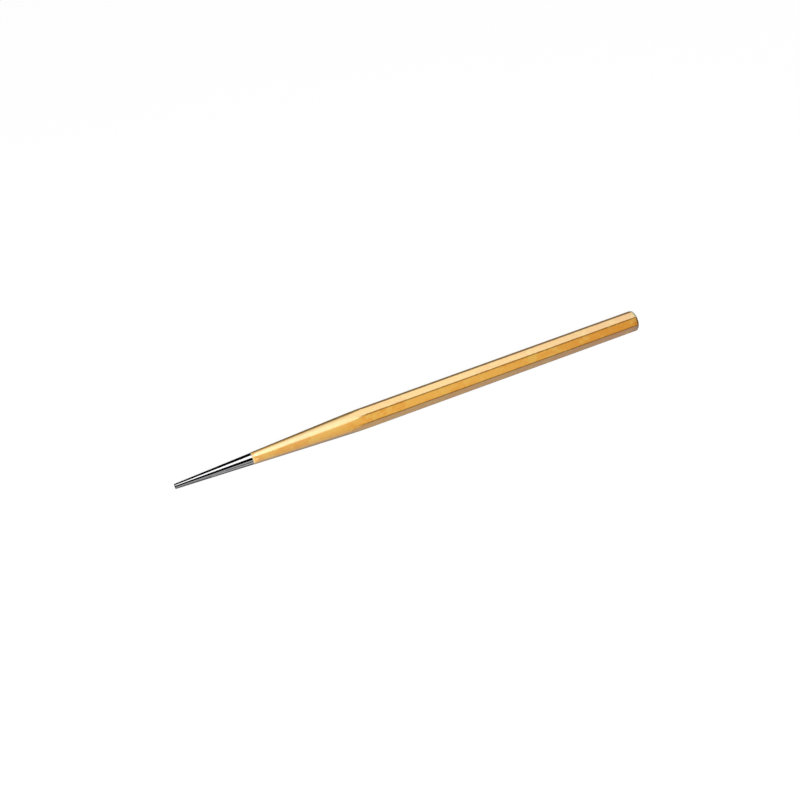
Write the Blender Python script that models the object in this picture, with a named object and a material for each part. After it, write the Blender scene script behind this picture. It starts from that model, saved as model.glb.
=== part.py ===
"""Taper punch: an octagonal tool-steel bar turned to a long taper, and the lacquer film that covers it.

The punch lies on one of its flats along X, with its tip towards -X and its striking head towards +X.
The origin is on the surface it lies on, half way along its length.
"""

import math

import bmesh
import bpy
from mathutils import Matrix, Vector

MM = 0.001

# Driving dimensions
OVERALL_LENGTH = 300.0 * MM
BAR_SIDES = 8
ACROSS_FLATS = 12.0 * MM
BAR_EDGE_RADIUS = 0.5 * MM

TIP_DIAMETER = 3.0 * MM
TIP_EDGE_BREAK = 0.2 * MM
TAPER_LENGTH = 117.0 * MM

HEAD_CHAMFER_LENGTH = 1.0 * MM
HEAD_CHAMFER_DEPTH = 0.8 * MM
HEAD_RIM_BREAK = 0.25 * MM

BRIGHT_TIP_LENGTH = 46.5 * MM
LACQUER_THICKNESS = 0.10 * MM
LACQUER_CLEARANCE = 0.02 * MM
LACQUER_LIP = 0.02 * MM
LACQUER_FEATHER = 1.5 * MM

# Finishes
STEEL_GREY = (0.55, 0.55, 0.56)
STEEL_ROUGHNESS = 0.25
LACQUER_GOLD = (0.72, 0.38, 0.08)
LACQUER_ROUGHNESS = 0.35
LACQUER_METALLIC = 0.3

# Fineness of the round surfaces
TURNED_STEPS = 128
EDGE_SEGMENTS = 4
SMOOTH_BELOW = math.radians(12.0)
WELD_DISTANCE = 0.0005 * MM

# How far the cutting shapes reach past what they cut
TURNING_MARGIN = 1.0 * MM
BAR_OVERHANG = 5.0 * MM

# Sizes that follow from the driving dimensions
FILM = LACQUER_CLEARANCE + LACQUER_THICKNESS
HALF_SIDE_ANGLE = math.pi / BAR_SIDES
CORNER_RADIUS = 0.5 * ACROSS_FLATS / math.cos(HALF_SIDE_ANGLE)
CLEAR_RADIUS = CORNER_RADIUS + TURNING_MARGIN
TIP_X = -0.5 * OVERALL_LENGTH
STEEL_HEAD_X = 0.5 * OVERALL_LENGTH - FILM
AXIS_HEIGHT = 0.5 * ACROSS_FLATS + FILM
TAPER_SLOPE = (CORNER_RADIUS - 0.5 * TIP_DIAMETER) / TAPER_LENGTH
CHAMFER_SLOPE = HEAD_CHAMFER_DEPTH / HEAD_CHAMFER_LENGTH


def clear_scene():
    for obj in list(bpy.data.objects):
        bpy.data.objects.remove(obj, do_unlink=True)


def principled_material(name, colour, roughness, metallic):
    material = bpy.data.materials.new(name)
    material.use_nodes = True
    shader = material.node_tree.nodes["Principled BSDF"]
    shader.inputs["Base Color"].default_value = (*colour, 1.0)
    shader.inputs["Roughness"].default_value = roughness
    shader.inputs["Metallic"].default_value = metallic
    return material


def taper_radius(x):
    """Radius of the turned cone of bare steel at x."""
    return 0.5 * TIP_DIAMETER + TAPER_SLOPE * (x - TIP_X)


def turned_profile():
    """Half outline, as (x, radius), that the lathe leaves: tip, cone, clear length and head chamfer.

    The cone and the chamfer run on past the bar's corners, so that only they cut the bar.
    """
    cone_end = TIP_X + (CLEAR_RADIUS - 0.5 * TIP_DIAMETER) / TAPER_SLOPE
    face_radius = CORNER_RADIUS - HEAD_CHAMFER_DEPTH
    chamfer_start = STEEL_HEAD_X - (CLEAR_RADIUS - face_radius) / CHAMFER_SLOPE
    return [
        Vector((TIP_X, 0.0)),
        Vector((TIP_X, taper_radius(TIP_X) - TIP_EDGE_BREAK)),
        Vector((TIP_X + TIP_EDGE_BREAK, taper_radius(TIP_X + TIP_EDGE_BREAK))),
        Vector((cone_end, CLEAR_RADIUS)),
        Vector((chamfer_start, CLEAR_RADIUS)),
        Vector((STEEL_HEAD_X - HEAD_RIM_BREAK, face_radius + CHAMFER_SLOPE * HEAD_RIM_BREAK)),
        Vector((STEEL_HEAD_X, face_radius - HEAD_RIM_BREAK)),
        Vector((STEEL_HEAD_X, 0.0)),
    ]


def outward(start, end):
    along = (end - start).normalized()
    return Vector((-along.y, along.x))


def grown(profile, growth):
    """The half outline moved outwards by growth, with mitred corners and its ends still on the axis."""
    normals = [outward(start, end) for start, end in zip(profile, profile[1:])]
    first = profile[0] + growth * normals[0]
    last = profile[-1] + growth * normals[-1]
    corners = []
    for point, before, after in zip(profile[1:], normals, normals[1:]):
        corners.append(point + growth * (before + after) / (1.0 + before.dot(after)))
    return [first, *corners, last]


def coat_profile():
    """Half outline of the film's outside, which thickens from a thin lip at the bright tip."""
    full = grown(turned_profile(), FILM)
    bed = grown(turned_profile(), LACQUER_CLEARANCE)
    lip_x = TIP_X + BRIGHT_TIP_LENGTH
    full_x = lip_x + LACQUER_FEATHER
    lip_radius = bed[2].y + TAPER_SLOPE * (lip_x - bed[2].x) + LACQUER_LIP
    full_radius = full[2].y + TAPER_SLOPE * (full_x - full[2].x)
    return [Vector((lip_x, 0.0)), Vector((lip_x, lip_radius)), Vector((full_x, full_radius)), *full[3:]]


def turned_solid(name, profile):
    """The half outline spun about the X axis."""
    shape = bmesh.new()
    points = [shape.verts.new((point.x, 0.0, point.y)) for point in profile]
    lines = [shape.edges.new(pair) for pair in zip(points, points[1:])]
    bmesh.ops.spin(
        shape,
        geom=points + lines,
        cent=(0.0, 0.0, 0.0),
        axis=(1.0, 0.0, 0.0),
        angle=2.0 * math.pi,
        steps=TURNED_STEPS,
        use_merge=True,
    )
    bmesh.ops.remove_doubles(shape, verts=shape.verts, dist=WELD_DISTANCE)
    bmesh.ops.recalc_face_normals(shape, faces=shape.faces)
    return scene_object(name, shape)


def octagon_bar(name, growth):
    """Bar stock with rounded edges, grown by growth and longer than the punch at both ends."""
    shape = bmesh.new()
    start_x = TIP_X - BAR_OVERHANG
    end_x = STEEL_HEAD_X + BAR_OVERHANG
    upright = Matrix.Rotation(0.5 * math.pi, 4, "Y") @ Matrix.Rotation(HALF_SIDE_ANGLE, 4, "Z")
    bmesh.ops.create_circle(
        shape,
        cap_ends=True,
        segments=BAR_SIDES,
        radius=CORNER_RADIUS + growth / math.cos(HALF_SIDE_ANGLE),
        matrix=Matrix.Translation((start_x, 0.0, 0.0)) @ upright,
    )
    pulled = bmesh.ops.extrude_face_region(shape, geom=list(shape.faces))
    far_end = [element for element in pulled["geom"] if isinstance(element, bmesh.types.BMVert)]
    bmesh.ops.translate(shape, verts=far_end, vec=(end_x - start_x, 0.0, 0.0))
    bmesh.ops.recalc_face_normals(shape, faces=shape.faces)
    long_edges = [edge for edge in shape.edges if edge.calc_length() > ACROSS_FLATS]
    bmesh.ops.bevel(
        shape,
        geom=long_edges,
        offset=(BAR_EDGE_RADIUS + growth) * math.tan(HALF_SIDE_ANGLE),
        offset_type="OFFSET",
        segments=EDGE_SEGMENTS,
        profile=0.5,
        affect="EDGES",
        material=-1,
    )
    return scene_object(name, shape)


def scene_object(name, shape):
    mesh = bpy.data.meshes.new(name)
    shape.to_mesh(mesh)
    shape.free()
    obj = bpy.data.objects.new(name, mesh)
    bpy.context.scene.collection.objects.link(obj)
    return obj


def cut(obj, operation, tool):
    """One exact Boolean, applied, after which the tool is gone."""
    modifier = obj.modifiers.new(operation.title(), "BOOLEAN")
    modifier.operation = operation
    modifier.solver = "EXACT"
    modifier.object = tool
    graph = bpy.context.evaluated_depsgraph_get()
    result = bpy.data.meshes.new_from_object(obj.evaluated_get(graph))
    obj.modifiers.clear()
    obj.data = result
    result.name = obj.name
    bpy.data.objects.remove(tool, do_unlink=True)


def finish(obj, material, parent):
    obj.data.materials.clear()
    obj.data.materials.append(material)
    obj.data.shade_smooth()
    obj.data.set_sharp_from_angle(angle=SMOOTH_BELOW)
    obj.parent = parent


def make_punch_bar(parent):
    """The steel: bar stock cut by the lathe, so that its flats run out on the cone in eight arches."""
    bar = octagon_bar("punch_bar", 0.0)
    cut(bar, "INTERSECT", turned_solid("bar_turning", turned_profile()))
    steel = principled_material("ground_steel", STEEL_GREY, STEEL_ROUGHNESS, metallic=1.0)
    finish(bar, steel, parent)


def make_lacquer_coat(parent):
    """The film: the same form grown a little, less the form it lies on, and open at the bright tip."""
    bed = octagon_bar("coat_bed", LACQUER_CLEARANCE)
    cut(bed, "INTERSECT", turned_solid("bed_turning", grown(turned_profile(), LACQUER_CLEARANCE)))
    coat = octagon_bar("lacquer_coat", FILM)
    cut(coat, "INTERSECT", turned_solid("coat_turning", coat_profile()))
    cut(coat, "DIFFERENCE", bed)
    lacquer = principled_material("gold_lacquer", LACQUER_GOLD, LACQUER_ROUGHNESS, LACQUER_METALLIC)
    finish(coat, lacquer, parent)


def main():
    clear_scene()
    axis = bpy.data.objects.new("punch_axis", None)
    axis.location = (0.0, 0.0, AXIS_HEIGHT)
    bpy.context.scene.collection.objects.link(axis)
    make_punch_bar(axis)
    make_lacquer_coat(axis)


main()
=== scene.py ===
"""Dresses a packed taper punch: a ground steel bar, its gold lacquer film, and a pale stage to see them on.

The punch lies along X on one of its flats, with its tip towards -X and its striking head towards +X.
"""

import math

import bmesh
import bpy
from bpy.props import FloatProperty, FloatVectorProperty, PointerProperty
from mathutils import Matrix, Vector


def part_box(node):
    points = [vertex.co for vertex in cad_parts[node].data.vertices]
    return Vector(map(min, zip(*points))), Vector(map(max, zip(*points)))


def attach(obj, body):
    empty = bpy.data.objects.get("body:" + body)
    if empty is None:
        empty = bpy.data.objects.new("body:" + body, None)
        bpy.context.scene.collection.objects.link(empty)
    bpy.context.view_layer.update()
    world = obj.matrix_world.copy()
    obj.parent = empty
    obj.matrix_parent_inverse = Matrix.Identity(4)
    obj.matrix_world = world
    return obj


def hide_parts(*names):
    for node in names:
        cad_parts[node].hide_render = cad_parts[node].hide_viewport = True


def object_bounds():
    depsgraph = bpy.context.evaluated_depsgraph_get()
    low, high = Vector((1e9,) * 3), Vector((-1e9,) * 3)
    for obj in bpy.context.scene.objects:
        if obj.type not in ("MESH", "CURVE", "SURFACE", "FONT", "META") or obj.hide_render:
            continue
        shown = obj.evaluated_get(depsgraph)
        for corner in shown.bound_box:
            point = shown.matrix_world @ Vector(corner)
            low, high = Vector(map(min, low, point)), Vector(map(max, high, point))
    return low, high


bl_info = {
    "name": "Taper Punch",
    "version": (1, 0, 0),
    "blender": (4, 5, 0),
    "location": "View3D > Sidebar > Punch",
    "description": "Builds the visible steel bar, lacquer film and stage of a taper punch",
    "category": "Object",
}

MM = 0.001
BAR_SIDES = 8
HALF_SIDE = math.pi / BAR_SIDES

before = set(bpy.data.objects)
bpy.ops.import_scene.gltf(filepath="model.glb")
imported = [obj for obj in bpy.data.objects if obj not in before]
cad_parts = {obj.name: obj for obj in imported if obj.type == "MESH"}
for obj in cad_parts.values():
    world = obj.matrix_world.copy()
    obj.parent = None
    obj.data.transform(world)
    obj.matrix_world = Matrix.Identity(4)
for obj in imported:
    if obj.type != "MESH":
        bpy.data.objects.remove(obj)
CAD_LOW, CAD_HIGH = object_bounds()
STEEL_LOW, STEEL_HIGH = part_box("punch_bar")
FILM_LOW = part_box("lacquer_coat")[0]
AXIS_HEIGHT = 0.5 * (STEEL_LOW.z + STEEL_HIGH.z)

# Fineness of the drawn bodies
FLAT_CUTS = 25
EDGE_STEPS = 6
TIP_STEPS = 6
BRIGHT_STEPS = 24
FEATHER_STEPS = 10
FINE_STEPS = {"cone": 14, "arches": 90, "shank": 18, "chamfer": 34, "rim": 8, "face": 5}
COARSE_STEPS = {"cone": 6, "arches": 16, "shank": 4, "chamfer": 8, "rim": 3, "face": 2}
SUPPORT = 0.06 * MM
LIP_SUPPORT = 0.015

# How far the finely drawn stretches reach past the arches, before the chamfer and under the film
ARCH_LEAD = 2.5 * MM
ARCH_TAIL = 2.0 * MM
CHAMFER_LEAD = 0.4 * MM
BRIGHT_OVERLAP = 4.0 * MM

# How the brown lines fade along the edges, the arches and the rim
EDGE_FADE = 0.1 * MM
CREASE_FADE = 1.5
CREASE_SHARE = 0.75
LINE_MIDDLE = 0.5

# Grain of the finishes, in cycles per metre along X, Y and Z
RING_GRAIN = (9000.0, 260.0, 260.0)
BELT_GRAIN = (900.0, 60.0, 60.0)
SCRATCH_GRAIN = (45.0, 5200.0, 5200.0)
CLOUD_GRAIN = (70.0, 130.0, 130.0)
TINT_GRAIN = (110.0, 160.0, 160.0)
MOTTLE_GRAIN = (420.0, 520.0, 520.0)
PEEL_GRAIN = (900.0, 1100.0, 1100.0)
DRAW_GRAIN = (12.0, 2600.0, 2600.0)

# Ground steel: shares of its marks, how dark, rough and deep they are, and where the tip's face ends
RING_SHARE = 0.55
MARK_LIMITS = (0.38, 0.62)
MARK_DARKNESS = 0.45
TIP_FACE_END = (0.10 * MM, 0.40 * MM)
STEEL_ROUGHNESS = 0.03
BELT_ROUGHNESS = 0.05
SCRATCH_ROUGHNESS = 0.03
TIP_FACE_ROUGHNESS = 0.35
STEEL_GLANCE = (0.3, 0.3, 0.3)
RING_RELIEF_SHARE = 0.7
STEEL_RELIEF = 0.2
STEEL_RELIEF_DEPTH = 0.003 * MM

# Gold lacquer: its patches, and how far they change its colour
CLOUD_SHARE = 0.5
THICK_LIMITS = (0.45, 0.60)
THICK_DEPTH = 0.70
TINT_SHARE = 0.6
CLEAR_LIMITS = (0.49, 0.62)
CLEAR_DEPTH = 0.70
THIN_DEPTH = 0.18

# Gold lacquer: where it changes along X, first from the origin and then from the film's front edge
# Painted shade: the first reach is where the lacquer darkens towards the striking head
HEAD_SHADE_REACH = (0.03, 0.16)
THIN_REACH = (0.03, 0.075)
FEATHER_REACH = (0.2 * MM, 1.3 * MM)
BUILT_UP_REACH = (0.9 * MM, 2.6 * MM)

# Gold lacquer: its brown lines, of wear and of painted shade, its surface, and how much of the steel's gloss
# comes through
WEAR_AND_SHADE_LEAST = 0.75
WEAR_AND_SHADE_MOTTLE = 0.5
WEAR_AND_SHADE_LIMITS = (0.12, 0.95)
EDGE_WEAR_AND_SHADE = 0.80
RIM_WEAR_AND_SHADE = 0.95
PEEL_SHARE = 0.6
LACQUER_RELIEF = 0.12
LACQUER_RELIEF_DEPTH = 0.01 * MM
LACQUER_ROUGHNESS = 0.32
MOTTLE_ROUGHNESS = 0.08
LINE_ROUGHNESS = 0.3
LACQUER_SPECULAR = 0.05
COAT_ROUGHNESS = 0.05
GLOSS_ROUGHNESS = 0.10
GLOSS_SHARE = 0.25
SLANT_SHARE = 0.45
SLANT_LIMITS = (0.25, 0.62)

# Stage
WHITE = (1.0, 1.0, 1.0)
FLOOR_RADIUS = 6.0
FLOOR_SEGMENTS = 96
FLOOR_GAP = 0.05 * MM
LAMP_SIZE = 1.1
LAMP_DISTANCE = 2.0
KEY_DIRECTION = Vector((-0.30, -0.574, 0.762)).normalized()
FILL_DIRECTION = Vector((0.80, 0.60, 0.10)).normalized()
SENSOR_WIDTH = 36.0
CARD_RADIUS = 0.10
CARD_STEPS = 16
CARDS_MEET = -0.0948
TIP_REACH = (-0.16, CARDS_MEET)
SHANK_REACH = (CARDS_MEET, 0.33)

# Cards bent round the punch: the arc at each end, in degrees above the horizon in front, reach and finish
CARDS = {
    "grey_card": ((-3.0, 0.0), (-3.0, 5.0), TIP_REACH, "grey"),
    "low_card": ((0.0, 20.0), (5.0, 25.0), TIP_REACH, "low"),
    "tip_front_flag": ((20.0, 81.0), (25.0, 72.5), TIP_REACH, "dark"),
    "tip_card": ((81.0, 104.0), (72.5, 118.5), TIP_REACH, "tip"),
    "tip_back_flag": ((104.0, 180.0), (118.5, 180.0), TIP_REACH, "dark"),
    "shank_front_flag": ((-3.0, 52.0), (-3.0, 52.0), SHANK_REACH, "dark"),
    "shank_card": ((52.0, 168.0), (52.0, 168.0), SHANK_REACH, "shank"),
    "shank_back_flag": ((168.0, 180.0), (168.0, 180.0), SHANK_REACH, "dark"),
}

# Where along X the strips of the tip give way to those of the cone: near in front, far in front and behind
NEAR_STRIPS_MEET = -0.1015
FAR_STRIPS_MEET = -0.0965
BACK_STRIPS_MEET = -0.095

# Strips on the floor: reach along X, reach along Y and finish
STRIPS = {
    "tip_back_strip": ((-0.30, BACK_STRIPS_MEET), (0.010, 0.20), "dark"),
    "tip_behind_strip": ((-0.30, BACK_STRIPS_MEET), (0.0045, 0.010), "dim"),
    "tip_under_strip": ((-0.17, NEAR_STRIPS_MEET), (-0.006, 0.0045), "deep"),
    "tip_near_strip": ((-0.17, -0.128), (-0.014, -0.006), "dim"),
    "near_strip": ((-0.128, NEAR_STRIPS_MEET), (-0.0085, -0.006), "dim"),
    "light_strip": ((-0.128, NEAR_STRIPS_MEET), (-0.020, -0.0085), "low"),
    "far_strip": ((-0.118, FAR_STRIPS_MEET), (-0.095, -0.020), "grey"),
    "shank_strip": ((NEAR_STRIPS_MEET, 0.33), (-0.022, 0.001), "cool"),
    "shank_front_strip": ((FAR_STRIPS_MEET, 0.33), (-0.10, -0.022), "dark"),
    "cone_back_strip": ((BACK_STRIPS_MEET, -0.035), (0.001, 0.20), "dark"),
    "shank_back_strip": ((-0.035, 0.40), (0.001, 0.20), "warm"),
}

# How the shank's card fades, in radians above the horizon in front, and what it gains towards the tip
FRONT_FADE = (math.radians(53.0), math.radians(79.0))
MIDDLE_DIP = (math.radians(112.0), math.radians(130.0))
MIDDLE_DIP_DEPTH = 0.28
BACK_FADE = (math.radians(138.0), math.radians(166.0))
TIP_GAIN = 0.20
TIP_LEAN = math.radians(10.0)
TIP_GAIN_REACH = (CARDS_MEET, -0.03)


class PunchSizes(bpy.types.PropertyGroup):
    """Sizes of the steel bar and of the film on it."""

    across_flats: FloatProperty(
        name="Across Flats",
        description="Width of the bare bar from flat to flat",
        default=STEEL_HIGH.z - STEEL_LOW.z,
        unit="LENGTH",
    )
    edge_radius: FloatProperty(
        name="Edge Radius",
        description="Rounding of the bar's eight long edges",
        default=0.5 * MM,
        unit="LENGTH",
    )
    tip_diameter: FloatProperty(
        name="Tip Diameter",
        description="Diameter of the flat tip",
        default=3.0 * MM,
        unit="LENGTH",
    )
    tip_break: FloatProperty(
        name="Tip Edge Break",
        description="How far the tip's edge is rounded",
        default=0.2 * MM,
        unit="LENGTH",
    )
    taper_length: FloatProperty(
        name="Taper Length",
        description="Length over which the cone grows to the bar's corners",
        default=117.0 * MM,
        unit="LENGTH",
    )
    chamfer_length: FloatProperty(
        name="Head Chamfer Length",
        description="Length of the chamfer at the striking head",
        default=1.0 * MM,
        unit="LENGTH",
    )
    chamfer_depth: FloatProperty(
        name="Head Chamfer Depth",
        description="How far the chamfer comes in from the bar's corners",
        default=0.8 * MM,
        unit="LENGTH",
    )
    rim_break: FloatProperty(
        name="Head Rim Break",
        description="Rounding between the chamfer and the striking face",
        default=0.25 * MM,
        unit="LENGTH",
    )
    crease_softness: FloatProperty(
        name="Crease Softness",
        description="How softly a turned surface runs out on the flats",
        default=0.06 * MM,
        unit="LENGTH",
    )
    edge_line: FloatProperty(
        name="Edge Line",
        description="Half width of the brown line along the bar's edges",
        default=0.48 * MM,
        unit="LENGTH",
    )
    crease_line: FloatProperty(
        name="Crease Line",
        description="Half width of the brown line where a flat runs out on the cone",
        default=0.35 * MM,
        unit="LENGTH",
    )
    rim_line: FloatProperty(
        name="Rim Line",
        description="Half width of the brown line outside the rim of the striking face",
        default=1.7 * MM,
        unit="LENGTH",
    )
    face_line: FloatProperty(
        name="Face Line",
        description="Half width of the brown line inside the rim of the striking face",
        default=0.5 * MM,
        unit="LENGTH",
    )
    film: FloatProperty(
        name="Film",
        description="How far the outside of the lacquer stands off the steel",
        default=STEEL_LOW.z - CAD_LOW.z,
        unit="LENGTH",
    )
    film_clearance: FloatProperty(
        name="Film Clearance",
        description="Gap between the steel and the inside of the lacquer",
        default=0.02 * MM,
        unit="LENGTH",
    )
    film_lip: FloatProperty(
        name="Film Lip",
        description="Thickness of the lacquer at its front edge",
        default=0.02 * MM,
        unit="LENGTH",
    )
    film_feather: FloatProperty(
        name="Film Feather",
        description="Length over which the lacquer thickens from its front edge",
        default=0.9 * MM,
        unit="LENGTH",
    )


class PunchColours(bpy.types.PropertyGroup):
    """Colours of the steel and of the lacquer."""

    steel: FloatVectorProperty(
        name="Steel",
        description="Ground tool steel",
        subtype="COLOR",
        default=(0.23, 0.23, 0.235),
    )
    steel_dark: FloatVectorProperty(
        name="Steel in the Grinding Marks",
        description="Steel at the bottom of the grinding marks",
        subtype="COLOR",
        default=(0.16, 0.16, 0.165),
    )
    tip_face: FloatVectorProperty(
        name="Tip Face",
        description="Dull steel on the flat of the tip",
        subtype="COLOR",
        default=(0.05, 0.05, 0.052),
    )
    gold: FloatVectorProperty(
        name="Gold Lacquer",
        description="Lacquer on the taper and the start of the shank",
        subtype="COLOR",
        default=(0.74, 0.385, 0.074),
    )
    # Painted shade: a darker lacquer colour towards the striking head, standing in for light that falls off
    # along the punch
    gold_shaded_head: FloatVectorProperty(
        name="Gold Lacquer at the Head",
        description="Lacquer towards the striking head, where it has gathered",
        subtype="COLOR",
        default=(0.63, 0.255, 0.034),
    )
    gold_deep: FloatVectorProperty(
        name="Deep Gold",
        description="Lacquer where it has run a little thicker",
        subtype="COLOR",
        default=(0.68, 0.285, 0.038),
    )
    gold_light: FloatVectorProperty(
        name="Light Gold",
        description="Lacquer where the steel shows through it a little",
        subtype="COLOR",
        default=(0.72, 0.43, 0.095),
    )
    gold_thin: FloatVectorProperty(
        name="Thin Lacquer",
        description="Lacquer at its feathered front edge",
        subtype="COLOR",
        default=(0.58, 0.45, 0.22),
    )
    gold_gloss: FloatVectorProperty(
        name="Gold Gloss",
        description="Tint of what the steel under the lacquer reflects",
        subtype="COLOR",
        default=(1.0, 0.82, 0.58),
    )
    # Wear and painted shade: the brown of the lines along the edges, the arches and the head's rim
    edge_brown: FloatVectorProperty(
        name="Edge Brown",
        description="Lacquer drawn thin over the bar's dark edges",
        subtype="COLOR",
        default=(0.075, 0.030, 0.0052),
    )


class PunchStage(bpy.types.PropertyGroup):
    """Camera, floor and lights."""

    azimuth: FloatProperty(
        name="Camera Azimuth",
        description="Direction of the camera round the punch",
        subtype="ANGLE",
        default=math.radians(-24.76),
    )
    elevation: FloatProperty(
        name="Camera Elevation",
        description="Height of the camera above the horizon",
        subtype="ANGLE",
        default=math.radians(51.45),
    )
    distance: FloatProperty(
        name="Camera Distance",
        description="Distance from the camera to the point it looks at",
        default=0.8511,
        unit="LENGTH",
    )
    aim: FloatVectorProperty(
        name="Camera Aim",
        description="Point that the camera looks at",
        subtype="TRANSLATION",
        default=(-8.16 * MM, 3.48 * MM, 6.12 * MM),
    )
    lens: FloatProperty(
        name="Lens",
        description="Focal length in millimetres on a 36 mm sensor",
        default=64.63,
    )
    floor_colour: FloatVectorProperty(
        name="Floor",
        description="Colour of the floor as the lamps light it",
        subtype="COLOR",
        default=(0.0975, 0.0975, 0.0975),
    )
    floor_white: FloatProperty(
        name="Floor White",
        description="How much white the floor and the room add where they are seen or reflected",
        default=0.89,
        min=0.0,
        max=1.0,
    )
    ambient: FloatProperty(
        name="Ambient",
        description="Level of the light that comes from all round",
        default=0.0427,
        min=0.0,
        max=1.0,
    )
    key_power: FloatProperty(
        name="Key Power",
        description="Power of the key softbox",
        subtype="POWER",
        default=65.3,
    )
    fill_power: FloatProperty(
        name="Fill Power",
        description="Power of the softbox that lights the head and the back",
        subtype="POWER",
        default=40.0,
    )
    tip_card: FloatProperty(
        name="Tip Card",
        description="Brightness of the white card that the steel tip reflects",
        default=5.2,
        min=0.0,
    )
    shank_card: FloatProperty(
        name="Shank Card",
        description="Brightness of the card that the lacquer reflects",
        default=1.92,
        min=0.0,
    )
    shank_card_colour: FloatVectorProperty(
        name="Shank Card Colour",
        description="Tint of the card that the lacquer reflects",
        subtype="COLOR",
        default=(0.70, 0.95, 1.0),
    )
    low_card: FloatProperty(
        name="Low Card",
        description="Brightness of the card and the strip low in front of the tip",
        default=1.7,
        min=0.0,
    )
    grey_card: FloatProperty(
        name="Grey Card",
        description="Brightness of the grey card and strip in front of the tip",
        default=0.45,
        min=0.0,
    )
    dim_strip: FloatProperty(
        name="Dim Strip",
        description="Brightness of the strips on the floor close to the tip",
        default=0.55,
        min=0.0,
    )
    shank_strip: FloatProperty(
        name="Shank Strip",
        description="Brightness of the strip on the floor in front of the shank",
        default=0.34,
        min=0.0,
    )
    shank_strip_colour: FloatVectorProperty(
        name="Shank Strip Colour",
        description="Tint of the strip on the floor in front of the shank",
        subtype="COLOR",
        default=(0.72, 0.78, 1.0),
    )
    back_strip: FloatProperty(
        name="Back Strip",
        description="Brightness of the strip on the floor behind the shank",
        default=0.16,
        min=0.0,
    )
    back_strip_colour: FloatVectorProperty(
        name="Back Strip Colour",
        description="Tint of the strip on the floor behind the shank",
        subtype="COLOR",
        default=(1.0, 0.91, 0.78),
    )
    deep_strip: FloatProperty(
        name="Deep Strip",
        description="Brightness of the strip on the floor under the tip",
        default=0.12,
        min=0.0,
    )


class Wire:
    """An output socket of a shader tree, or the bare tree, whose arithmetic adds Math nodes."""

    def __init__(self, tree, socket=None):
        self.tree = tree
        self.socket = socket

    def node(self, kind, settings, inputs, output=0):
        made = self.tree.nodes.new(kind)
        for name, value in settings.items():
            setattr(made, name, value)
        for key, value in inputs.items():
            if isinstance(value, Wire):
                self.tree.links.new(value.socket, made.inputs[key])
            else:
                made.inputs[key].default_value = value
        return Wire(self.tree, made.outputs[output])

    def maths(self, operation, *values):
        return self.node("ShaderNodeMath", {"operation": operation}, dict(enumerate(values)))

    def __add__(self, other):
        return self.maths("ADD", self, other)

    def __radd__(self, other):
        return self.maths("ADD", other, self)

    def __sub__(self, other):
        return self.maths("SUBTRACT", self, other)

    def __rsub__(self, other):
        return self.maths("SUBTRACT", other, self)

    def __mul__(self, other):
        return self.maths("MULTIPLY", self, other)

    def __rmul__(self, other):
        return self.maths("MULTIPLY", other, self)

    def between(self, low, high):
        """0 up to low, 1 from high on, and smooth from one to the other."""
        limits = {"Value": self, "From Min": low, "From Max": high}
        return self.node("ShaderNodeMapRange", {"interpolation_type": "SMOOTHSTEP"}, limits)

    def larger(self, other):
        return self.maths("MAXIMUM", self, other)

    def mean(self, other, share):
        """Weighted mean of this value and another, with the share of this one."""
        return share * self + (1.0 - share) * other

    def blend(self, first, second):
        """The first colour where this value is 0 and the second where it is 1."""
        colours = {0: self, 6: first, 7: second}
        return self.node("ShaderNodeMix", {"data_type": "RGBA"}, colours, output=2)

    def position(self, scale):
        """Object coordinates, stretched by scale."""
        place = self.node("ShaderNodeTexCoord", {}, {}, output="Object")
        return self.node("ShaderNodeMapping", {}, {"Vector": place, "Scale": scale})

    def along(self, axis):
        """Object coordinate along one axis, in metres."""
        place = self.node("ShaderNodeTexCoord", {}, {}, output="Object")
        return self.node("ShaderNodeSeparateXYZ", {}, {"Vector": place}, output=axis)

    def noise(self, scale, detail=2.0, roughness=0.5):
        """Even noise from 0 to 1 whose grain is 1/scale along each axis."""
        place = self.position(scale)
        inputs = {"Vector": place, "Scale": 1.0, "Detail": detail, "Roughness": roughness}
        return self.node("ShaderNodeTexNoise", {}, inputs)

    def attribute(self, name):
        return self.node("ShaderNodeAttribute", {"attribute_name": name}, {}, output="Fac")

    def bump(self, height, strength, distance):
        inputs = {"Height": height, "Strength": strength, "Distance": distance}
        return self.node("ShaderNodeBump", {}, inputs)


def opaque(colour):
    return (*colour, 1.0)


def empty_material(name):
    material = bpy.data.materials.new(name)
    material.use_nodes = True
    material.node_tree.nodes.clear()
    return material, Wire(material.node_tree)


def put_out(tree, kind, shader):
    """Ends the tree with an output node of one kind and puts the shader on it."""
    end = tree.tree.nodes.new(kind)
    tree.tree.links.new(shader.socket, end.inputs["Surface"])


def past(tree, origin_x, reach):
    """0 up to the start of a reach along X from an origin, 1 past its end, and smooth between them."""
    return tree.along("X").between(origin_x + reach[0], origin_x + reach[1])


def ground_steel(colours):
    """Bright tool steel, ground round and round, with a few longer scratches along it."""
    material, tree = empty_material("ground_steel")
    rings = tree.noise(RING_GRAIN, detail=3.0, roughness=0.6)
    belts = tree.noise(BELT_GRAIN)
    scratches = tree.noise(SCRATCH_GRAIN, detail=1.0)
    marks = rings.mean(belts, RING_SHARE).between(*MARK_LIMITS)
    ground = (MARK_DARKNESS * (1.0 - marks)).blend(opaque(colours.steel), opaque(colours.steel_dark))
    on_face = 1.0 - past(tree, STEEL_LOW.x, TIP_FACE_END)
    colour = on_face.blend(ground, opaque(colours.tip_face))
    marked = BELT_ROUGHNESS * belts + SCRATCH_ROUGHNESS * scratches
    relief = rings.mean(scratches, RING_RELIEF_SHARE)
    shader = tree.node(
        "ShaderNodeBsdfPrincipled",
        {},
        {
            "Base Color": colour,
            "Metallic": 1.0,
            "Roughness": STEEL_ROUGHNESS + marked + TIP_FACE_ROUGHNESS * on_face,
            "Specular Tint": opaque(STEEL_GLANCE),
            "Normal": tree.bump(relief, STEEL_RELIEF, STEEL_RELIEF_DEPTH),
        },
    )
    put_out(tree, "ShaderNodeOutputMaterial", shader)
    return material


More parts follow.
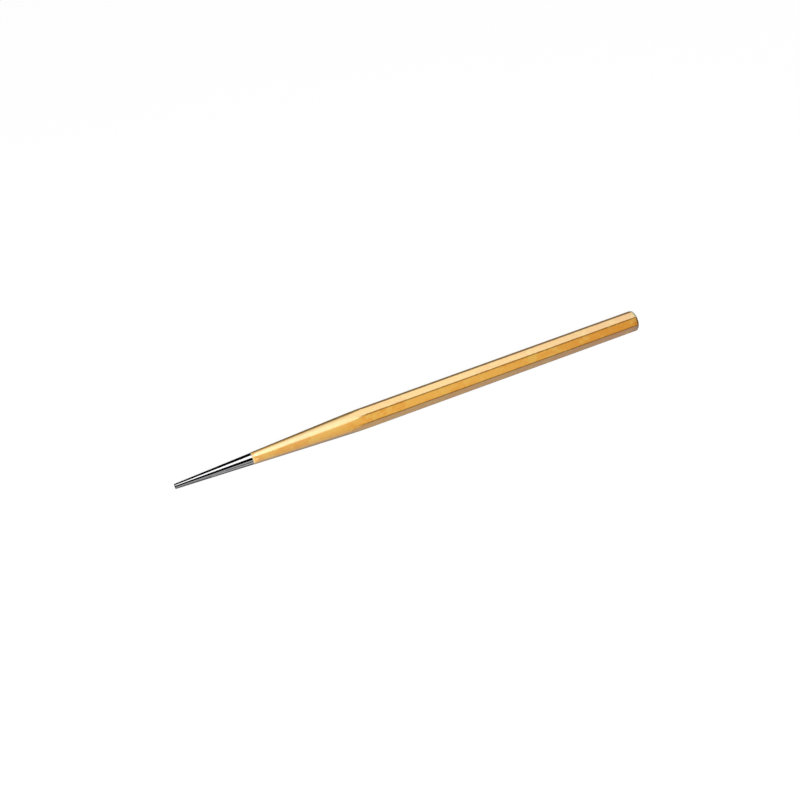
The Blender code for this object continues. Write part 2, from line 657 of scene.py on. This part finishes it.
def gold_lacquer(colours):
    """Gold lacquer that lets some of the steel's gloss through, with brown lines along the bar's edges:
    lacquer drawn thin there and painted shade of the dark the edges reflect. It is painted darker towards
    the striking head, as shade of light falling off along the punch.

    More of that gloss shows at a slant, and less on the brown edge lines or where the film starts thin at
    its front edge.
    """
    material, tree = empty_material("gold_lacquer")
    clouds = tree.noise(CLOUD_GRAIN)
    tints = tree.noise(TINT_GRAIN)
    mottle = tree.noise(MOTTLE_GRAIN, detail=3.0, roughness=0.6)
    peel = tree.noise(PEEL_GRAIN)
    draw_marks = tree.noise(DRAW_GRAIN, detail=1.0)
    edge_line = tree.attribute("edge_line")
    rim_line = tree.attribute("rim_line")
    thick = clouds.mean(mottle, CLOUD_SHARE).between(*THICK_LIMITS)
    clear = tints.mean(1.0 - mottle, TINT_SHARE).between(*CLEAR_LIMITS)
    # Painted shade: the lacquer is darkened towards the striking head, for light that falls off along the
    # punch
    head_shade = past(tree, 0.0, HEAD_SHADE_REACH)
    even = head_shade.blend(opaque(colours.gold), opaque(colours.gold_shaded_head))
    deepened = (THICK_DEPTH * thick).blend(even, opaque(colours.gold_deep))
    gold = (CLEAR_DEPTH * clear).blend(deepened, opaque(colours.gold_light))
    near_front = 1.0 - past(tree, FILM_LOW.x, THIN_REACH)
    thinned = (THIN_DEPTH * near_front).blend(gold, opaque(colours.gold_thin))
    feathered = past(tree, FILM_LOW.x, FEATHER_REACH).blend(opaque(colours.gold_thin), thinned)
    # Brown lines along the edges, the arches and the head's rim: lacquer drawn thin there, and painted shade
    # of the dark that those edges reflect
    unevenness = WEAR_AND_SHADE_LEAST + WEAR_AND_SHADE_MOTTLE * mottle
    edge_wear_and_shade = (edge_line * unevenness).between(*WEAR_AND_SHADE_LIMITS)
    rim_wear_and_shade = (rim_line * unevenness).between(*WEAR_AND_SHADE_LIMITS)
    wear_and_shade = (EDGE_WEAR_AND_SHADE * edge_wear_and_shade).larger(RIM_WEAR_AND_SHADE * rim_wear_and_shade)
    colour = wear_and_shade.blend(feathered, opaque(colours.edge_brown))
    relief = peel.mean(draw_marks, PEEL_SHARE)
    surface = tree.bump(relief, LACQUER_RELIEF, LACQUER_RELIEF_DEPTH)
    lacquer = tree.node(
        "ShaderNodeBsdfPrincipled",
        {},
        {
            "Base Color": colour,
            "Roughness": LACQUER_ROUGHNESS + MOTTLE_ROUGHNESS * mottle + LINE_ROUGHNESS * wear_and_shade,
            "Specular IOR Level": LACQUER_SPECULAR,
            "Coat Weight": 1.0 - edge_wear_and_shade,
            "Coat Roughness": COAT_ROUGHNESS,
            "Normal": surface,
        },
    )
    gloss = tree.node(
        "ShaderNodeBsdfAnisotropic",
        {},
        {"Color": opaque(colours.gold_gloss), "Roughness": GLOSS_ROUGHNESS, "Normal": surface},
    )
    slant = tree.node("ShaderNodeLayerWeight", {}, {"Normal": surface}, output="Facing")
    built_up = past(tree, FILM_LOW.x, BUILT_UP_REACH)
    gloss_head_on = GLOSS_SHARE * (1.0 - edge_wear_and_shade) * built_up
    gloss_share = gloss_head_on + SLANT_SHARE * slant.between(*SLANT_LIMITS)
    shader = tree.node("ShaderNodeMixShader", {}, {0: gloss_share, 1: lacquer, 2: gloss})
    put_out(tree, "ShaderNodeOutputMaterial", shader)
    return material


def smooth_min(first, second, width):
    """The smaller of two lengths, rounded off over width where they meet."""
    overlap = max(width - abs(first - second), 0.0) / width
    return min(first, second) - 0.25 * width * overlap * overlap


def smooth_step(share):
    share = min(max(share, 0.0), 1.0)
    return share * share * (3.0 - 2.0 * share)


def fall_off(distance, width):
    return math.exp(-((distance / width) ** 2))


class Turning:
    """The punch's form, grown outwards by growth: the bar's section and what the lathe leaves of it."""

    def __init__(self, sizes, growth):
        self.soften = sizes.crease_softness
        self.apothem = 0.5 * sizes.across_flats + growth
        self.fillet = sizes.edge_radius + growth
        self.rim_break = sizes.rim_break
        self.tip_break = sizes.tip_break
        corner = 0.5 * sizes.across_flats / math.cos(HALF_SIDE)
        self.tip_x = STEEL_LOW.x
        self.head_x = STEEL_HIGH.x + growth
        self.tip_radius = 0.5 * sizes.tip_diameter
        self.cone_slope = (corner - self.tip_radius) / sizes.taper_length
        self.cone_growth = growth * math.hypot(1.0, self.cone_slope)
        self.chamfer_slope = sizes.chamfer_depth / sizes.chamfer_length
        self.face_radius = corner - sizes.chamfer_depth
        self.chamfer_growth = growth * math.hypot(1.0, self.chamfer_slope) - growth * self.chamfer_slope
        self.fillet_centre = (self.apothem - self.fillet) / math.cos(HALF_SIDE)
        half_flat = (self.apothem - self.fillet) * math.tan(HALF_SIDE)
        self.fillet_angle = HALF_SIDE - math.atan2(half_flat, self.apothem)
        self.corner = self.fillet_centre + self.fillet
        self.rim = Vector((self.head_x, self.chamfer(self.head_x)))

    def bar_radius(self, from_flat):
        """Radius of the bar's rounded octagon at an angle from the middle of a flat."""
        from_corner = HALF_SIDE - abs(from_flat)
        if from_corner > self.fillet_angle:
            return self.apothem / math.cos(from_flat)
        across = self.fillet_centre * math.sin(from_corner)
        return self.fillet_centre * math.cos(from_corner) + math.sqrt(self.fillet**2 - across**2)

    def cone(self, x):
        return self.tip_radius + self.cone_slope * (x - self.tip_x) + self.cone_growth

    def cone_x(self, radius):
        return self.tip_x + (radius - self.cone_growth - self.tip_radius) / self.cone_slope

    def chamfer(self, x):
        return self.face_radius + self.chamfer_slope * (self.head_x - x) + self.chamfer_growth

    def chamfer_x(self, radius):
        return self.head_x - (radius - self.chamfer_growth - self.face_radius) / self.chamfer_slope

    def turned(self, x):
        return min(self.cone(x), self.chamfer(x))

    def stations(self, start_x, steps):
        """Points (x, turned radius) from start_x along the punch to the middle of the striking face."""
        arch_start = self.cone_x(self.apothem) - ARCH_LEAD
        arch_end = self.cone_x(self.corner) + ARCH_TAIL
        chamfer_start = self.chamfer_x(self.corner) - CHAMFER_LEAD
        rim_start = self.rim + self.rim_break * Vector((-1.0, self.chamfer_slope)).normalized()
        rim_end = self.rim - Vector((0.0, self.rim_break))
        lengths = [
            (start_x, arch_start, steps["cone"]),
            (arch_start, arch_end, steps["arches"]),
            (arch_end, chamfer_start, steps["shank"]),
            (chamfer_start, rim_start.x, steps["chamfer"]),
        ]
        points = [Vector((start_x, self.turned(start_x)))]
        for first, last, count in lengths:
            for x in spread(first, last, count):
                points.append(Vector((x, self.turned(x))))
        points += bend(rim_start, self.rim, rim_end, steps["rim"])
        points.append(rim_end - Vector((0.0, SUPPORT)))
        for radius in spread(points[-1].y, SUPPORT, steps["face"]):
            points.append(Vector((self.head_x, radius)))
        return points

    def tip_stations(self, end_x):
        """Points (x, turned radius) from the middle of the tip's face along the bright cone to end_x."""
        edge = Vector((self.tip_x, self.tip_radius))
        face_end = edge - Vector((0.0, self.tip_break))
        cone_start = edge + self.tip_break * Vector((1.0, self.cone_slope)).normalized()
        points = []
        for radius in spread(SUPPORT, face_end.y - SUPPORT, TIP_STEPS):
            points.append(Vector((self.tip_x, radius)))
        points += [face_end, *bend(face_end, edge, cone_start, TIP_STEPS)]
        for x in spread(cone_start.x, end_x, BRIGHT_STEPS):
            points.append(Vector((x, self.turned(x))))
        return points


def spread(first, last, count):
    """count even steps from first to last, without first itself."""
    return [first + (last - first) * step / count for step in range(1, count + 1)]


def bend(start, corner, end, count):
    """count points from start to end that round off the corner between them."""
    points = []
    for share in spread(0.0, 1.0, count):
        points.append(start.lerp(corner, share).lerp(corner.lerp(end, share), share))
    return points


def bar_outline(shape, turning):
    """The bar's outline across X, its corners rounded and its flats finely divided."""
    upright = Matrix.Rotation(0.5 * math.pi, 4, "Y") @ Matrix.Rotation(HALF_SIDE, 4, "Z")
    bmesh.ops.create_circle(
        shape,
        cap_ends=True,
        segments=BAR_SIDES,
        radius=turning.apothem / math.cos(HALF_SIDE),
        matrix=upright,
    )
    bmesh.ops.bevel(
        shape,
        geom=list(shape.verts),
        offset=turning.fillet * math.tan(HALF_SIDE),
        offset_type="OFFSET",
        segments=EDGE_STEPS,
        profile=0.5,
        affect="VERTICES",
        material=-1,
    )
    flats = [edge for edge in shape.edges if edge.calc_length() > turning.fillet]
    bmesh.ops.delete(shape, geom=list(shape.faces), context="FACES_ONLY")
    bmesh.ops.subdivide_edges(shape, edges=flats, cuts=FLAT_CUTS)
    return list(shape.verts), list(shape.edges)


def edge_line_share(sizes, turning, x, limit, from_flat):
    """How near a point is to a brown line, of lacquer drawn thin and of painted shade: a long edge or an
    arch's crease.
    """
    bar = turning.bar_radius(from_flat)
    from_edge = bar * (HALF_SIDE - abs(from_flat))
    on_bar = smooth_step((limit - turning.corner) / EDGE_FADE + LINE_MIDDLE)
    along_edge = on_bar * fall_off(from_edge, sizes.edge_line)
    if x > 0.0:
        return along_edge
    steepness = math.hypot(math.tan(from_flat), turning.cone_slope)
    from_crease = abs(bar - limit) / steepness
    sharpness = min(steepness / math.tan(HALF_SIDE), 1.0) ** CREASE_FADE
    along_crease = CREASE_SHARE * sharpness * fall_off(from_crease, sizes.crease_line)
    return max(along_edge, along_crease)


def rim_line_share(sizes, turning, x, limit):
    """How near a point is to the rim of the striking face, on the chamfer or on the face itself."""
    reach = sizes.rim_line if limit > turning.rim.y else sizes.face_line
    from_rim = (Vector((x, limit)) - turning.rim).length
    return 1.0 - smooth_step(from_rim / reach - LINE_MIDDLE)


def drawn_body(name, sizes, stations):
    """A closed body drawn ring by ring through stations of (turning, x, turned radius)."""
    shape = bmesh.new()
    edge_line = shape.verts.layers.float.new("edge_line")
    rim_line = shape.verts.layers.float.new("rim_line")
    ring, edges = bar_outline(shape, stations[0][0])
    first_ring = ring
    for index, (turning, x, limit) in enumerate(stations):
        if index:
            pulled = bmesh.ops.extrude_edge_only(shape, edges=edges)["geom"]
            ring = [element for element in pulled if isinstance(element, bmesh.types.BMVert)]
            edges = [element for element in pulled if isinstance(element, bmesh.types.BMEdge)]
        for vert in ring:
            angle = math.atan2(vert.co.y, vert.co.z)
            from_flat = (angle + HALF_SIDE) % (2.0 * HALF_SIDE) - HALF_SIDE
            radius = smooth_min(turning.bar_radius(from_flat), limit, turning.soften)
            vert.co = (x, radius * math.sin(angle), radius * math.cos(angle))
            vert[edge_line] = edge_line_share(sizes, turning, x, limit, from_flat)
            vert[rim_line] = rim_line_share(sizes, turning, x, limit)
    bmesh.ops.pointmerge(shape, verts=first_ring, merge_co=(stations[0][1], 0.0, 0.0))
    bmesh.ops.pointmerge(shape, verts=ring, merge_co=(stations[-1][1], 0.0, 0.0))
    bmesh.ops.recalc_face_normals(shape, faces=shape.faces)
    bmesh.ops.translate(shape, verts=shape.verts, vec=(0.0, 0.0, AXIS_HEIGHT))
    return mesh_object(name, shape)


def mesh_object(name, shape):
    """Turns a finished bmesh into a smooth object at the origin."""
    mesh = bpy.data.meshes.new(name)
    shape.to_mesh(mesh)
    shape.free()
    mesh.shade_smooth()
    obj = bpy.data.objects.new(name, mesh)
    bpy.context.scene.collection.objects.link(obj)
    return obj


def dress(obj, material, node):
    """Gives a finished piece its material and puts it in the place of its CAD node."""
    obj.data.materials.append(material)
    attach(obj, "root")
    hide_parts(node)


def steel_stations(sizes):
    """Along the bar from the tip to the head, coarser where the film hides it."""
    bare = Turning(sizes, 0.0)
    hidden_x = FILM_LOW.x + BRIGHT_OVERLAP
    points = bare.tip_stations(hidden_x) + bare.stations(hidden_x, COARSE_STEPS)[1:]
    return [(bare, point.x, point.y) for point in points]


def film_stations(sizes):
    """Along the inside of the film from head to front edge, then back along its outside to the head."""
    inside = Turning(sizes, sizes.film_clearance)
    outside = Turning(sizes, sizes.film)
    lip_x = FILM_LOW.x
    full_x = lip_x + sizes.film_feather
    stations = []
    for point in reversed(inside.stations(lip_x, COARSE_STEPS)):
        stations.append((inside, point.x, point.y))
    lip = inside.cone(lip_x) + sizes.film_lip
    stations.append((outside, lip_x, lip))
    for share in [LIP_SUPPORT, *spread(LIP_SUPPORT, 1.0, FEATHER_STEPS)]:
        x = lip_x + share * sizes.film_feather
        thin = inside.cone(x) + sizes.film_lip
        stations.append((outside, x, thin + (outside.cone(x) - thin) * smooth_step(share)))
    for point in outside.stations(full_x, FINE_STEPS)[1:]:
        stations.append((outside, point.x, point.y))
    return stations


class PUNCH_OT_steel_bar(bpy.types.Operator):
    """Build the ground steel bar in the place of its CAD solid"""

    bl_idname = "punch.steel_bar"
    bl_label = "Steel Bar"

    def execute(self, context):
        sizes = context.scene.punch_sizes
        bar = drawn_body("steel_bar", sizes, steel_stations(sizes))
        dress(bar, ground_steel(context.scene.punch_colours), "punch_bar")
        return {"FINISHED"}


class PUNCH_OT_lacquer_film(bpy.types.Operator):
    """Build the gold lacquer film in the place of its CAD solid"""

    bl_idname = "punch.lacquer_film"
    bl_label = "Lacquer Film"

    def execute(self, context):
        sizes = context.scene.punch_sizes
        film = drawn_body("lacquer_film", sizes, film_stations(sizes))
        dress(film, gold_lacquer(context.scene.punch_colours), "lacquer_coat")
        return {"FINISHED"}


def seen_as_white(tree):
    """1 for what the camera sees, directly, in a reflection or through glass, and 0 for other light."""
    seen = tree.node("ShaderNodeLightPath", {}, {}, output="Is Camera Ray")
    glossy = tree.node("ShaderNodeLightPath", {}, {}, output="Is Glossy Ray")
    through = tree.node("ShaderNodeLightPath", {}, {}, output="Is Transmission Ray")
    return seen.larger(glossy).larger(through)


def floor_material(stage):
    material, tree = empty_material("pale_floor")
    lit = tree.node("ShaderNodeBsdfDiffuse", {}, {"Color": opaque(stage.floor_colour)})
    white = tree.node("ShaderNodeEmission", {}, {"Strength": stage.floor_white * seen_as_white(tree)})
    put_out(tree, "ShaderNodeOutputMaterial", tree.node("ShaderNodeAddShader", {}, {0: lit, 1: white}))
    return material


def card_material(name, level, colour=WHITE):
    material, tree = empty_material(name)
    light = tree.node("ShaderNodeEmission", {}, {"Color": opaque(colour), "Strength": level})
    put_out(tree, "ShaderNodeOutputMaterial", light)
    return material


def soft_card_material(name, level, colour):
    """A card that is brightest overhead, dips a little behind that, and fades towards both of its edges."""
    material, tree = empty_material(name)
    round_axis = tree.maths("ARCTAN2", tree.along("Z"), 0.0 - tree.along("Y"))
    front_fade = round_axis.between(*FRONT_FADE)
    middle_dip = 1.0 - MIDDLE_DIP_DEPTH * round_axis.between(*MIDDLE_DIP)
    towards_tip = 1.0 - tree.along("X").between(*TIP_GAIN_REACH)
    back_fade = 1.0 - (round_axis + TIP_LEAN * towards_tip).between(*BACK_FADE)
    strength = level * (front_fade * middle_dip * back_fade * (1.0 + TIP_GAIN * towards_tip))
    light = tree.node("ShaderNodeEmission", {}, {"Color": opaque(colour), "Strength": strength})
    put_out(tree, "ShaderNodeOutputMaterial", light)
    return material


def stage_object(name, shape, material):
    obj = mesh_object(name, shape)
    obj.data.materials.append(material)
    return obj


def reflected_card(name, shape, material):
    """A card that only reflections show."""
    card = stage_object(name, shape, material)
    card.visible_camera = False
    card.visible_diffuse = False
    card.visible_transmission = False
    card.visible_shadow = False
    return card


def make_floor(stage):
    shape = bmesh.new()
    place = Matrix.Translation((0.0, 0.0, -FLOOR_GAP))
    bmesh.ops.create_circle(shape, cap_ends=True, segments=FLOOR_SEGMENTS, radius=FLOOR_RADIUS, matrix=place)
    stage_object("floor", shape, floor_material(stage))


def make_arched_card(name, first_arc, last_arc, reach, material):
    """A card bent round the punch's axis, between an arc at each end of its reach along X."""
    shape = bmesh.new()
    for x, (low, high) in zip(reach, (first_arc, last_arc)):
        front = -CARD_RADIUS * math.cos(math.radians(low))
        height = CARD_RADIUS * math.sin(math.radians(low))
        bmesh.ops.spin(
            shape,
            geom=[shape.verts.new((x, front, height))],
            cent=(0.0, 0.0, 0.0),
            axis=(-1.0, 0.0, 0.0),
            angle=math.radians(high - low),
            steps=CARD_STEPS,
        )
    bmesh.ops.bridge_loops(shape, edges=list(shape.edges))
    card = reflected_card(name, shape, material)
    card.location.z = AXIS_HEIGHT


def make_strip(name, along, across, material):
    """A strip that lies on the floor."""
    shape = bmesh.new()
    middle = Matrix.Translation((0.5 * sum(along), 0.5 * sum(across), 0.0))
    spread_out = Matrix.Diagonal((along[1] - along[0], across[1] - across[0], 1.0, 1.0))
    bmesh.ops.create_grid(shape, x_segments=1, y_segments=1, size=0.5, matrix=middle @ spread_out)
    reflected_card(name, shape, material)


def make_softbox(name, direction, power):
    """A round lamp that looks at the punch from a direction and that reflections don't show."""
    lamp = bpy.data.lights.new(name, "AREA")
    lamp.shape = "DISK"
    lamp.size = LAMP_SIZE
    lamp.energy = power
    softbox = bpy.data.objects.new(name, lamp)
    softbox.location = LAMP_DISTANCE * direction
    softbox.rotation_euler = direction.to_track_quat("Z", "Y").to_euler()
    softbox.visible_glossy = False
    bpy.context.scene.collection.objects.link(softbox)


def make_world(stage):
    world = bpy.data.worlds.new("pale_room")
    world.use_nodes = True
    world.node_tree.nodes.clear()
    tree = Wire(world.node_tree)
    level = stage.ambient + (stage.floor_white - stage.ambient) * seen_as_white(tree)
    white = tree.node("ShaderNodeBackground", {}, {"Color": opaque(WHITE), "Strength": level})
    put_out(tree, "ShaderNodeOutputWorld", white)
    bpy.context.scene.world = world


def make_camera(stage):
    lens = bpy.data.cameras.new("camera")
    lens.lens = stage.lens
    lens.sensor_width = SENSOR_WIDTH
    camera = bpy.data.objects.new("camera", lens)
    level = math.cos(stage.elevation)
    across = level * math.sin(stage.azimuth)
    towards_front = level * math.cos(stage.azimuth)
    back = Vector((across, -towards_front, math.sin(stage.elevation)))
    camera.location = Vector(stage.aim) + stage.distance * back
    camera.rotation_euler = (-back).to_track_quat("-Z", "Y").to_euler()
    bpy.context.scene.collection.objects.link(camera)
    bpy.context.scene.camera = camera


class PUNCH_OT_stage(bpy.types.Operator):
    """Set up the floor, the cards, the lamps, the world and the camera"""

    bl_idname = "punch.stage"
    bl_label = "Stage"

    def execute(self, context):
        stage = context.scene.punch_stage
        levels = {
            "dark": 0.0,
            "deep": stage.deep_strip,
            "dim": stage.dim_strip,
            "grey": stage.grey_card,
            "low": stage.low_card,
            "tip": stage.tip_card,
        }
        finishes = {name: card_material(f"{name}_card", level) for name, level in levels.items()}
        finishes["cool"] = card_material("cool_card", stage.shank_strip, stage.shank_strip_colour)
        finishes["warm"] = card_material("warm_card", stage.back_strip, stage.back_strip_colour)
        finishes["shank"] = soft_card_material("shank_card", stage.shank_card, stage.shank_card_colour)
        for name, (first_arc, last_arc, reach, finish) in CARDS.items():
            make_arched_card(name, first_arc, last_arc, reach, finishes[finish])
        for name, (along, across, finish) in STRIPS.items():
            make_strip(name, along, across, finishes[finish])
        make_floor(stage)
        make_softbox("key_softbox", KEY_DIRECTION, stage.key_power)
        make_softbox("fill_softbox", FILL_DIRECTION, stage.fill_power)
        make_world(stage)
        make_camera(stage)
        context.scene.view_settings.view_transform = "Standard"
        return {"FINISHED"}


class PUNCH_PT_dressing(bpy.types.Panel):
    """The punch's sizes, colours and stage, and the operators that build them"""

    bl_label = "Taper Punch"
    bl_space_type = "VIEW_3D"
    bl_region_type = "UI"
    bl_category = "Punch"

    def draw(self, context):
        scene = context.scene
        for settings in (scene.punch_sizes, scene.punch_colours, scene.punch_stage):
            box = self.layout.box()
            for name in settings.__annotations__:
                box.prop(settings, name)
        for operator in OPERATORS:
            self.layout.operator(operator.bl_idname)


OPERATORS = (PUNCH_OT_steel_bar, PUNCH_OT_lacquer_film, PUNCH_OT_stage)
CLASSES = (PunchSizes, PunchColours, PunchStage, *OPERATORS, PUNCH_PT_dressing)


def register():
    for cls in CLASSES:
        bpy.utils.register_class(cls)
    bpy.types.Scene.punch_sizes = PointerProperty(type=PunchSizes)
    bpy.types.Scene.punch_colours = PointerProperty(type=PunchColours)
    bpy.types.Scene.punch_stage = PointerProperty(type=PunchStage)


def unregister():
    del bpy.types.Scene.punch_stage
    del bpy.types.Scene.punch_colours
    del bpy.types.Scene.punch_sizes
    for cls in reversed(CLASSES):
        bpy.utils.unregister_class(cls)


def main():
    register()
    bpy.ops.punch.steel_bar()
    bpy.ops.punch.lacquer_film()
    bpy.ops.punch.stage()


if __name__ == "__main__":
    main()
